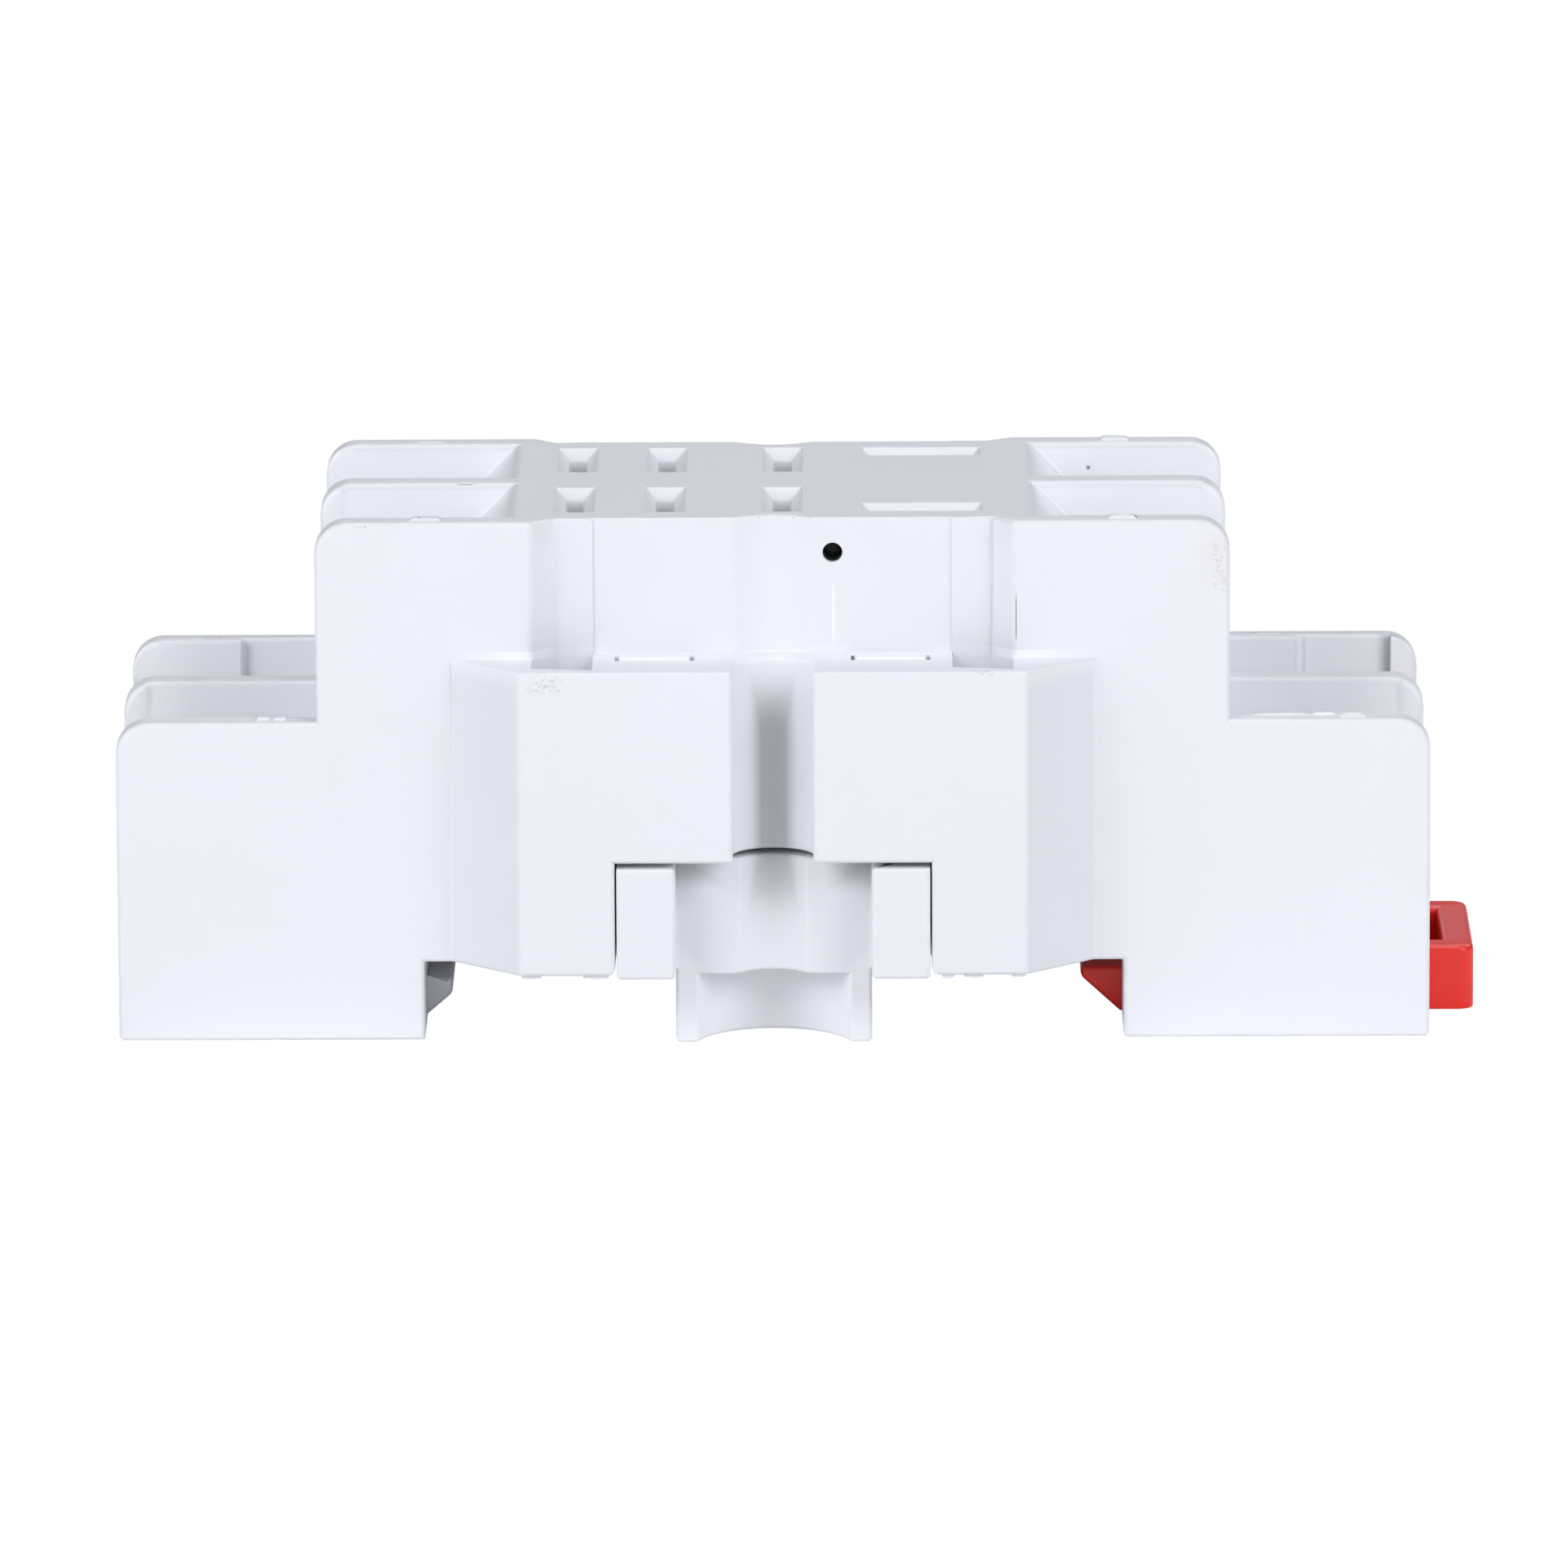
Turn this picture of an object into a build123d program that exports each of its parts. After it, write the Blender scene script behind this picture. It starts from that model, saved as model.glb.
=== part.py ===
from build123d import *
import math
import os

# Relay socket with eight screw terminals for a 35 mm top hat rail or a panel.
# X runs along the socket, towards the end with the rail clip. Y runs along the rail. Z points up.
# The origin is on the rail seat, at the centre of the socket. Sizes are in millimetres.

# Housing, outer form
lower_tier_length = 10.13
wing_width = 21.33
foot_depth = 3.86
fin_top = 22.87
tier_drop = 10.27
corner_radius = 1.6
seat_relief = 0.18

# Rail
rail_width = 35.0
rail_side_clearance = 0.18

# Central block with the panel screw notches
block_half_length = 12.75
block_proud = 3.29
block_chamfer_run = 3.5
ledge_height = 15.84
screw_spacing = 25.0
notch_radius = 2.03
driver_groove_radius = 3.5
counterbore_radius = 4.0

# Recessed side panel above the block, and the pockets behind the block's rim
panel_half_length = 11.1
panel_recess = 1.15
panel_slope_run = 1.05
panel_strip_proud = 0.1
pocket_inner = 9.05
pocket_outer = 12.12
pocket_rim = 1.0
pocket_depth = 6.5
probe_hole_radius = 0.5
probe_hole_x = 3.04
probe_hole_drop = 1.82
probe_hole_depth = 1.8

# Terminal bays
outer_fin = 1.6
middle_fin = 1.66
platform_half_length = 13.1
ramp_run = 1.9
bay_bed_length = 7.52
bay_end_sill = 0.5
plate_drop = 7.2
fin_step_depth = 0.5
fin_step_left_length = 4.39
fin_step_right_length = 4.68
fin_lip_length = 1.37
fin_end_relief = 0.12
fin_end_relief_length = 1.6

# Busbars
plate_thickness = 0.8
plate_side_gap = 0.4175
plate_end_gap = 0.1
strip_width = 4.0
collar_radius = 2.5
collar_depth = 1.6
strip_clearance = 0.1

# Terminal screws and clamp washers
screw_radius = 1.75
thread_clearance = 0.05
washer_thickness = 0.8
washer_end_gap = 0.16
washer_side_gap = 0.1
washer_clearance = 0.08
head_setback = 0.4
head_height = 2.0
head_edge_radius = 0.8
shank_length = 5.6
drive_width = 0.9
drive_length = 4.4
drive_depth = 1.1
screw_well_radius = 2.75
screw_well_clearance = 0.25

# Blade slots in the platform
contact_slots_x = (-10.0, -5.43, 0.49)
contact_slot_setback = 5.665
coil_slot_x = 7.57
coil_slot_setback = 3.665
funnel_width = 2.0
funnel_length = 6.06
funnel_depth = 0.6
slot_width = 0.93
skin_thickness = 1.7

# Blade clips
clip_thickness = 0.4
clip_width = 4.4
clip_spread = 2.2
clip_throat = 0.35
clip_mouth = 1.5
clip_top_gap = 0.3
clip_lip = 0.9
shaft_side_clearance = 0.35

# Bottom cover
cover_half_length = 15.4
cover_thickness = 1.6
cover_clearance = 0.12
skirt_wall = 1.6
post_inner = 4.95
post_outer = 7.9
post_height = 5.71
post_gap = 0.27
post_side_gap = 0.08
band_setback = 2.6
tab_thickness = 3.9
cover_wall = 3.15
counterbore_roof = 0.3
arm_inner = 4.15
arm_outer = 7.75
arm_thickness = 0.9
arm_setback = 0.575
arm_proud = 0.1
barb_reach = 0.6
barb_base = 12.0
barb_length = 1.3
arm_clearance = 0.2
barb_seat_gap = 0.05
barb_room = 0.6

# Feet
foot_wall = 1.5
foot_roof = 1.4
hook_half_width = 5.2
hook_reach = 1.28
hook_top = 1.94
hook_nose = 0.82
hook_slope_drop = 1.1

# Rail clip
clip_half_width = 5.2
clip_floor_gap = 0.1
clip_height = 3.3
clip_tip_reach = 2.1
clip_tip_top = 2.4
clip_tip_nose = 0.5
clip_tip_slope_run = 1.97
clip_outside = 2.45
clip_wall = 1.6
clip_corner = 0.8
clip_travel = 2.5
clip_side_clearance = 0.12
tongue_reach = 1.0
tongue_height = 1.2
tongue_start = 2.3
tongue_length = 8.6
loop_half_width = 3.5
loop_length = 3.4
spring_pocket_start = 4.2
spring_pocket_floor = 0.6
spring_radius = 1.05
spring_wire = 0.3
spring_turns = 7
spring_end_gap = 0.02
stop_post_length = 1.5
stop_post_setback = 3.33
stop_post_gap = 0.1
spring_side_clearance = 0.2
spring_floor_gap = 0.05

# How far a cut runs past a face, and how deep a joined piece reaches into its carrier
past = 1.0
root = 0.5

# Places worked out from the sizes above
half_upper = platform_half_length + ramp_run + bay_bed_length + bay_end_sill
half_body = half_upper + lower_tier_length
half_wing = wing_width / 2
foot_z = -foot_depth
tier_top = fin_top - tier_drop
rail_half = rail_width / 2 + rail_side_clearance
block_face = half_wing + block_proud
block_wide_half = block_half_length + block_chamfer_run
panel_face = half_wing - panel_recess
strip_face = panel_face + panel_strip_proud
panel_wide_half = panel_half_length + panel_slope_run
screw_line = screw_spacing / 2
bay_near = middle_fin / 2
bay_far = half_wing - outer_fin
bay_middle = (bay_near + bay_far) / 2
plate_width = bay_far - bay_near - 2 * plate_side_gap
washer_length = bay_bed_length - 2 * washer_end_gap
washer_width = plate_width - 2 * washer_side_gap
head_radius = washer_width / 2 - head_setback
contact_slot_y = half_wing - contact_slot_setback
coil_slot_y = half_wing - coil_slot_setback
bay_inner = platform_half_length + ramp_run
upper_plate_top = fin_top - plate_drop
lower_plate_top = tier_top - plate_drop
underside = seat_relief
cover_half_width = half_wing - skirt_wall - cover_clearance
cover_recess_top = cover_thickness + cover_clearance
shaft_top = fin_top - skin_thickness
cut_out_half = post_outer + post_side_gap
cut_out_top = post_height + post_gap
band_face = block_face - band_setback
arm_front = band_face - arm_setback
arm_height = ledge_height + arm_proud
clip_bottom = foot_z + clip_floor_gap
clip_top = clip_bottom + clip_height
channel_top = clip_top + clip_side_clearance
channel_half = clip_half_width + clip_side_clearance
spring_start = rail_half + spring_pocket_start
spring_outer = spring_radius + spring_wire / 2
spring_centre_z = clip_bottom + spring_pocket_floor + spring_floor_gap + spring_outer
stop_post_end = half_body - stop_post_setback
stop_post_start = stop_post_end - stop_post_length
spring_length = stop_post_start - spring_start - 2 * spring_end_gap


def box(x_range, y_range, z_range):
    """A block between three pairs of limits."""
    size = [high - low for low, high in (x_range, y_range, z_range)]
    middle = [(low + high) / 2 for low, high in (x_range, y_range, z_range)]
    return Pos(*middle) * Box(*size)


def span(one, other):
    """Two limits in rising order."""
    return (min(one, other), max(one, other))


def side_box(side, x_range, y_range, z_range):
    """A block whose Y limits are measured outwards on one side of the centre plane."""
    near, far = y_range
    return box(x_range, span(side * near, side * far), z_range)


def end_box(end, x_range, y_range, z_range):
    """A block whose X limits are measured outwards towards one end."""
    near, far = x_range
    return box(span(end * near, end * far), y_range, z_range)


def corner_box(end, side, x_range, y_range, z_range):
    """A block whose X limits and Y limits are both measured outwards."""
    near, far = y_range
    return end_box(end, x_range, span(side * near, side * far), z_range)


def prism_along_y(points, y_range):
    """A closed outline in X and Z, extruded between two Y limits."""
    low, high = y_range
    face = make_face(Polyline(*[(x, high, z) for x, z in points], close=True))
    return extrude(face, amount=high - low, dir=(0, -1, 0))


def prism_along_z(points, z_range):
    """A closed outline in X and Y, extruded between two Z limits."""
    low, high = z_range
    face = make_face(Polyline(*[(x, y, low) for x, y in points], close=True))
    return extrude(face, amount=high - low, dir=(0, 0, 1))


def upright(radius, x, y, z_range):
    """A vertical cylinder between two Z limits."""
    low, high = z_range
    return Pos(x, y, (low + high) / 2) * Cylinder(radius, high - low)


class Terminal:
    """Where one terminal's bay, screw, strip and blade clip lie."""

    def __init__(self, name, end, side, upper, clip_x, clip_y, turned):
        self.name = name
        self.end = end
        self.side = side
        self.upper = upper
        self.clip_x = clip_x
        self.clip_y = side * clip_y
        self.turned = turned
        self.plate_top = upper_plate_top if upper else lower_plate_top
        self.bay_top = fin_top if upper else tier_top
        self.plate_inner = bay_inner if upper else half_upper
        self.plate_outer = (half_upper if upper else half_body) - bay_end_sill - plate_end_gap
        self.screw_x = end * (self.plate_inner + self.plate_outer) / 2
        self.screw_y = side * bay_middle

    def clip_half_x(self):
        return clip_width / 2 if self.turned else clip_spread / 2

    def clip_half_y(self):
        return clip_spread / 2 if self.turned else clip_width / 2


def make_terminals():
    first_x, second_x, third_x = contact_slots_x
    rows = []
    for side, row in ((-1, "front"), (1, "rear")):
        rows.append(Terminal(f"{row}_break", -1, side, True, first_x, contact_slot_y, False))
        rows.append(Terminal(f"{row}_make", -1, side, False, second_x, contact_slot_y, False))
        rows.append(Terminal(f"{row}_common", 1, side, False, third_x, contact_slot_y, False))
        rows.append(Terminal(f"{row}_coil", 1, side, True, coil_slot_x, coil_slot_y, True))
    return rows


terminals = make_terminals()


# Housing

def wing_block():
    """The stepped body between the outer faces of the fins, with rounded fin corners."""
    outline = [
        (-half_body, foot_z),
        (-half_body, tier_top),
        (-half_upper, tier_top),
        (-half_upper, fin_top),
        (half_upper, fin_top),
        (half_upper, tier_top),
        (half_body, tier_top),
        (half_body, foot_z),
        (rail_half, foot_z),
        (rail_half, underside),
        (-rail_half, underside),
        (-rail_half, foot_z),
    ]
    block = prism_along_y(outline, (-half_wing, half_wing))
    corners = []
    for edge in block.edges().filter_by(Axis.Y):
        middle = edge.center()
        at_lower_tier = abs(abs(middle.X) - half_body) < 0.01 and abs(middle.Z - tier_top) < 0.01
        at_upper_tier = abs(abs(middle.X) - half_upper) < 0.01 and abs(middle.Z - fin_top) < 0.01
        if at_lower_tier or at_upper_tier:
            corners.append(edge)
    return fillet(corners, corner_radius)


def side_blocks():
    """The block that stands out on both long sides and carries the screw notches."""
    outline = [
        (-block_wide_half, -half_wing),
        (-block_half_length, -block_face),
        (block_half_length, -block_face),
        (block_wide_half, -half_wing),
        (block_wide_half, half_wing),
        (block_half_length, block_face),
        (-block_half_length, block_face),
        (-block_wide_half, half_wing),
    ]
    return prism_along_z(outline, (underside, ledge_height))


def side_panel(side):
    """The recess between the wings above the block, with sloping ends and the pockets below it."""
    outline = [
        (-panel_wide_half, side * half_wing),
        (-panel_half_length, side * strip_face),
        (-pocket_inner, side * strip_face),
        (-pocket_inner, side * panel_face),
        (pocket_inner, side * panel_face),
        (pocket_inner, side * strip_face),
        (panel_half_length, side * strip_face),
        (panel_wide_half, side * half_wing),
        (panel_wide_half, side * (half_wing + past)),
        (-panel_wide_half, side * (half_wing + past)),
    ]
    cut = prism_along_z(outline, (ledge_height, fin_top + past))
    cut += upright(driver_groove_radius, 0, side * screw_line, (ledge_height, fin_top + past))
    pocket_bottom = ledge_height - pocket_depth
    for end in (-1, 1):
        pocket = [
            (end * pocket_inner, side * strip_face),
            (end * panel_half_length, side * strip_face),
            (end * pocket_outer, side * half_wing),
            (end * pocket_outer, side * (block_face - pocket_rim)),
            (end * pocket_inner, side * (block_face - pocket_rim)),
        ]
        cut += prism_along_z(pocket, (pocket_bottom, ledge_height + past))
    hole_z = fin_top - probe_hole_drop
    hole = Pos(probe_hole_x, side * panel_face, hole_z) * Rot(90, 0, 0)
    return cut + hole * Cylinder(probe_hole_radius, 2 * probe_hole_depth)


def terminal_bay(terminal):
    """The open bay of one terminal: its ramp, the space over the plate and the well for the screw."""
    end = terminal.end
    floor = terminal.plate_top - plate_thickness
    bay_end = half_upper if terminal.upper else half_body
    y_range = (bay_near, bay_far)
    side = terminal.side
    bed = (terminal.plate_inner, bay_end - bay_end_sill)
    space = corner_box(end, side, bed, y_range, (floor, terminal.plate_top + past))
    open_length = (terminal.plate_inner, bay_end + past)
    space += corner_box(end, side, open_length, y_range, (terminal.plate_top, terminal.bay_top + past))
    if terminal.upper:
        ramp = [
            (end * bay_inner, fin_top + past),
            (end * platform_half_length, fin_top + past),
            (end * platform_half_length, fin_top),
            (end * bay_inner, fin_top - ramp_run),
        ]
        space += prism_along_y(ramp, span(side * bay_near, side * bay_far))
    tip = terminal.plate_top + washer_thickness - shank_length
    well = (tip - screw_well_clearance, floor)
    return space + upright(screw_well_radius, terminal.screw_x, terminal.screw_y, well)


def strip_slit(terminal):
    """The passage for the strip from the bay to the far side of the shaft of its blade clip."""
    floor = terminal.plate_top - plate_thickness
    half = strip_width / 2 + strip_clearance
    reach = terminal.clip_x - terminal.end * (terminal.clip_half_x() + strip_clearance)
    x_range = span(reach, terminal.end * (terminal.plate_inner + root))
    y_middle = strip_y(terminal)
    return box(x_range, (y_middle - half, y_middle + half), (floor, terminal.plate_top + strip_clearance))


def strip_y(terminal):
    """Y of the strip's centre line: as near the blade clip's own as the bay allows."""
    limit = bay_far - strip_width / 2 - strip_clearance
    return terminal.side * min(abs(terminal.clip_y), limit)


def clip_shaft(terminal):
    """The vertical shaft of one blade clip, open below, with the slot and funnel above it."""
    half_x = terminal.clip_half_x() + shaft_side_clearance
    half_y = terminal.clip_half_y() + shaft_side_clearance
    x, y = terminal.clip_x, terminal.clip_y
    shaft = box((x - half_x, x + half_x), (y - half_y, y + half_y), (underside, shaft_top))
    turn = 90 if terminal.turned else 0
    funnel_slope = math.degrees(math.atan((funnel_width - slot_width) / 2 / funnel_depth))
    mouth = Pos(x, y, fin_top) * Rot(0, 0, turn) * Rectangle(funnel_width, funnel_length)
    shaft += extrude(mouth, amount=-funnel_depth, taper=funnel_slope)
    slot_length = funnel_length - (funnel_width - slot_width)
    slot_size = (slot_length, slot_width) if terminal.turned else (slot_width, slot_length)
    middle_z = (fin_top + shaft_top) / 2
    return shaft + Pos(x, y, middle_z) * Box(*slot_size, fin_top - shaft_top + 2 * strip_clearance)


def cover_recess():
    """The space for the bottom cover: the plate, the posts in the cut-out, and the snap arms."""
    half_x = cover_half_length + cover_clearance
    half_y = cover_half_width + cover_clearance
    wall_back = band_face - cover_wall - cover_clearance
    below = underside - past
    space = box((-half_x, half_x), (-half_y, half_y), (below, cover_recess_top))
    arm_x = (arm_inner - arm_clearance, arm_outer + arm_clearance)
    arm_back = arm_front - arm_thickness - arm_clearance
    barb_tip = arm_front + barb_reach + arm_clearance
    barb_z = (barb_base - barb_seat_gap, barb_base + barb_length + barb_room)
    for side in (-1, 1):
        cut_out_y = (wall_back, block_face + past)
        space += side_box(side, (-cut_out_half, cut_out_half), cut_out_y, (below, cut_out_top))
        for end in (-1, 1):
            arm_y = (arm_back, arm_front + barb_seat_gap)
            space += corner_box(end, side, arm_x, arm_y, (post_height, ledge_height + past))
            space += corner_box(end, side, arm_x, (arm_back, barb_tip), barb_z)
        space += notch(side, (below, ledge_height + past))
    return space


def notch(side, z_range):
    """The U-shaped way of a panel screw, open to the side."""
    y = side * screw_line
    way = upright(notch_radius, 0, y, z_range)
    return way + side_box(side, (-notch_radius, notch_radius), (screw_line, block_face + past), z_range)


def left_foot_core():
    """The hollow in the left foot, open below."""
    half_y = half_wing - foot_wall
    roof = lower_plate_top + washer_thickness - shank_length - screw_well_clearance - foot_roof
    x_range = (rail_half + foot_wall, half_body - foot_wall)
    return end_box(-1, x_range, (-half_y, half_y), (foot_z - past, roof))


def fixed_hook():
    """The hook on the left foot that goes under the rail's edge."""
    top = foot_z + hook_top
    outline = [
        (-rail_half - root, top),
        (-rail_half + hook_reach, top),
        (-rail_half + hook_reach, top - hook_nose),
        (-rail_half, top - hook_nose - hook_slope_drop),
        (-rail_half - root, top - hook_nose - hook_slope_drop),
    ]
    return prism_along_y(outline, (-hook_half_width, hook_half_width))


def clip_channel():
    """The way of the rail clip through the right foot, with the grooves for its tongues."""
    channel_x = (rail_half - past, half_body + past)
    space = box(channel_x, (-channel_half, channel_half), (foot_z - past, channel_top))
    groove_half = channel_half + tongue_reach
    start = rail_half + tongue_start
    end = start + tongue_length + clip_travel + 2 * clip_side_clearance
    groove_bottom = clip_top - tongue_height - clip_side_clearance
    groove_x = (start - clip_side_clearance, end)
    return space + box(groove_x, (-groove_half, groove_half), (groove_bottom, channel_top))


def stop_post():
    """The post that the clip's spring pushes against, and that the clip stops on."""
    half_y = spring_outer
    bottom = clip_bottom + spring_pocket_floor + clip_side_clearance
    return box((stop_post_start, stop_post_end), (-half_y, half_y), (bottom, channel_top + root))


def fin_details():
    """The shallow relief inside the fins at their ends, and the recesses in the rear lower bays."""
    near_wall = (bay_near - fin_end_relief, bay_near)
    far_wall = (bay_far, bay_far + fin_end_relief)
    left_recess = (half_upper, half_upper + fin_step_left_length)
    right_end = half_body - fin_lip_length
    right_recess = (right_end - fin_step_right_length, right_end)
    recess_y = (bay_far, bay_far + fin_step_depth)
    recess_z = (lower_plate_top, tier_top + past)
    cut = corner_box(-1, 1, left_recess, recess_y, recess_z)
    cut += corner_box(1, 1, right_recess, recess_y, recess_z)
    for end in (-1, 1):
        for side in (-1, 1):
            for reach, top in ((half_upper, fin_top), (half_body, tier_top)):
                x_range = (reach - fin_end_relief_length, reach + past)
                z_range = (top - plate_drop, top + past)
                cut += corner_box(end, side, x_range, near_wall, z_range)
                cut += corner_box(end, side, x_range, far_wall, z_range)
    return cut


def housing():
    body = wing_block() + side_blocks()
    for side in (-1, 1):
        body -= side_panel(side)
    for terminal in terminals:
        body -= terminal_bay(terminal)
        body -= strip_slit(terminal)
        body -= clip_shaft(terminal)
    body -= cover_recess()
    body -= left_foot_core()
    body -= clip_channel()
    body -= fin_details()
    body += fixed_hook()
    body += stop_post()
    return body


# Bottom cover

def snap_arm(end, side):
    """A thin arm that stands on the cover's wall and hooks over a shelf in the block."""
    arm_y = (arm_front - arm_thickness, arm_front)
    arm = corner_box(end, side, (arm_inner, arm_outer), arm_y, (post_height - root, arm_height))
    barb = [
        (side * arm_front, barb_base),
        (side * (arm_front + barb_reach), barb_base),
        (side * arm_front, barb_base + barb_length),
    ]
    low, high = span(end * arm_inner, end * arm_outer)
    face = make_face(Polyline(*[(low, y, z) for y, z in barb], close=True))
    return arm + extrude(face, amount=high - low, dir=(1, 0, 0))


def bottom_cover():
    half_y = cover_half_width
    body = box((-cover_half_length, cover_half_length), (-half_y, half_y), (0, cover_thickness))
    wall_back = band_face - cover_wall
    for side in (-1, 1):
        body += side_box(side, (-post_outer, post_outer), (wall_back, band_face), (0, post_height))
        tab_y = (band_face - tab_thickness, band_face)
        body += side_box(side, (-post_inner, post_inner), tab_y, (foot_z, 0))
        for end in (-1, 1):
            body += corner_box(end, side, (post_inner, post_outer), (wall_back, block_face), (0, post_height))
            body += snap_arm(end, side)
        body -= notch(side, (-counterbore_roof - strip_clearance, post_height + past))
        body -= upright(counterbore_radius, 0, side * screw_line, (foot_z - past, -counterbore_roof))
    return body


# Rail clip and its spring

def rail_clip():
    tip_x = rail_half - clip_tip_reach
    tip_top = foot_z + clip_tip_top
    tip_low = tip_top - clip_tip_nose
    side_view = [
        (tip_x, tip_top),
        (tip_x, tip_low),
        (tip_x + clip_tip_slope_run, clip_bottom),
        (half_body + clip_outside, clip_bottom),
        (half_body + clip_outside, clip_top),
        (rail_half + clip_side_clearance, clip_top),
        (rail_half + clip_side_clearance, tip_top),
    ]
    body = prism_along_y(side_view, (-clip_half_width, clip_half_width))
    outer_x = half_body + clip_outside
    rounded = [e for e in body.edges().filter_by(Axis.Z) if abs(e.center().X - outer_x) < 0.01]
    body = fillet(rounded, clip_corner)
    start = rail_half + tongue_start
    tongue_half = clip_half_width + tongue_reach - clip_side_clearance
    tongue_z = (clip_top - tongue_height, clip_top)
    body += box((start, start + tongue_length), (-tongue_half, tongue_half), tongue_z)
    loop_x = (outer_x - clip_wall - loop_length, outer_x - clip_wall)
    body -= box(loop_x, (-loop_half_width, loop_half_width), (clip_bottom - past, clip_top + past))
    pocket_half = spring_outer + spring_side_clearance
    pocket_floor = clip_bottom + spring_pocket_floor
    pocket_end = stop_post_end + stop_post_gap
    body -= box((spring_start, pocket_end), (-pocket_half, pocket_half), (pocket_floor, clip_top + past))
    return body


def clip_spring():
    pitch = (spring_length - spring_wire) / spring_turns
    coil = Helix(pitch=pitch, height=spring_length - spring_wire, radius=spring_radius)
    section = Plane(origin=coil @ 0, z_dir=coil % 0) * Circle(spring_wire / 2)
    wound = sweep(section, path=coil, is_frenet=True)
    middle_z = spring_centre_z
    return Pos(spring_start + spring_end_gap + spring_wire / 2, 0, middle_z) * Rot(0, 90, 0) * wound


# Terminals

def busbar(terminal):
    """The screw plate with its threaded collar, and the strip to the blade clip."""
    end = terminal.end
    floor = terminal.plate_top - plate_thickness
    z_range = (floor, terminal.plate_top)
    half = plate_width / 2
    plate_x = span(end * terminal.plate_inner, end * terminal.plate_outer)
    body = box(plate_x, (terminal.screw_y - half, terminal.screw_y + half), z_range)
    tip_x = terminal.clip_x - end * terminal.clip_half_x()
    strip_x = span(tip_x, end * (terminal.plate_inner + root))
    y_middle = strip_y(terminal)
    body += box(strip_x, (y_middle - strip_width / 2, y_middle + strip_width / 2), z_range)
    body += upright(collar_radius, terminal.screw_x, terminal.screw_y, (floor - collar_depth, floor))
    bore_z = (floor - collar_depth - past, terminal.plate_top + past)
    return body - upright(screw_radius + thread_clearance, terminal.screw_x, terminal.screw_y, bore_z)


def fork_outline(foot_z_low, base_z):
    """Outline of a blade clip: foot, riser where the strip lies deep, and two sprung leaves."""
    half = clip_spread / 2
    leaf_top = shaft_top - clip_top_gap
    throat_z = leaf_top - clip_lip
    throat = clip_throat / 2
    mouth = clip_mouth / 2
    inner = half - clip_thickness
    right = [
        (half, base_z),
        (half, base_z + clip_thickness * 2),
        (throat + clip_thickness, throat_z),
        (mouth + clip_thickness, leaf_top),
        (mouth, leaf_top),
        (throat, throat_z),
        (inner, base_z + clip_thickness * 2),
        (inner, base_z + clip_thickness),
    ]
    left = [(-x, z) for x, z in reversed(right)]
    if foot_z_low >= base_z:
        return right + left
    stem = clip_thickness / 2
    riser = [
        (-stem, base_z),
        (-stem, foot_z_low + clip_thickness),
        (-half, foot_z_low + clip_thickness),
        (-half, foot_z_low),
        (half, foot_z_low),
        (half, foot_z_low + clip_thickness),
        (stem, foot_z_low + clip_thickness),
        (stem, base_z),
    ]
    return right + left + riser


def blade_clip(terminal):
    """The sprung receptacle of one relay blade, standing on the inner end of its strip."""
    outline = fork_outline(terminal.plate_top, upper_plate_top)
    half = clip_width / 2
    fork = prism_along_y(outline, (-half, half))
    turn = 90 if terminal.turned else 0
    return Pos(terminal.clip_x, terminal.clip_y, 0) * Rot(0, 0, turn) * fork


def clamp_washer(terminal):
    half_x, half_y = washer_length / 2, washer_width / 2
    x, y = terminal.screw_x, terminal.screw_y
    low, high = terminal.plate_top, terminal.plate_top + washer_thickness
    body = box((x - half_x, x + half_x), (y - half_y, y + half_y), (low, high))
    return body - upright(screw_radius + washer_clearance, x, y, (low - past, high + past))


def terminal_screw(terminal):
    """A pan head screw with a slot crossed by a recess, seated on its clamp washer."""
    x, y = terminal.screw_x, terminal.screw_y
    seat = terminal.plate_top + washer_thickness
    head = upright(head_radius, x, y, (seat, seat + head_height))
    rim = head.edges().filter_by(GeomType.CIRCLE).group_by(Axis.Z)[-1]
    body = fillet(rim, head_edge_radius)
    body += upright(screw_radius, x, y, (seat - shank_length, seat))
    top = seat + head_height
    z_range = (top - drive_depth, top + past)
    half_width = drive_width / 2
    half_length = drive_length / 2
    body -= box((x - head_radius - past, x + head_radius + past), (y - half_width, y + half_width), z_range)
    body -= box((x - half_width, x + half_width), (y - half_length, y + half_length), z_range)
    return body


def write(name, shape):
    solids = shape.solids()
    kept = solids[0] if len(solids) == 1 else Compound(children=list(solids))
    export_step(kept, f"parts/{name}.step")


os.makedirs("parts", exist_ok=True)
write("housing", housing())
write("bottom_cover", bottom_cover())
write("rail_clip", rail_clip())
write("clip_spring", clip_spring())
for terminal in terminals:
    write(f"{terminal.name}_busbar", busbar(terminal))
    write(f"{terminal.name}_blade_clip", blade_clip(terminal))
    write(f"{terminal.name}_clamp_washer", clamp_washer(terminal))
    write(f"{terminal.name}_screw", terminal_screw(terminal))
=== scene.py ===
# Looks of the relay socket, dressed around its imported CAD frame.
# X runs along the socket towards the red rail clip, Y along the rail, Z up. Lengths in metres.
import math
import random

import bmesh
import bpy
from mathutils import Matrix, Vector


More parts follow.
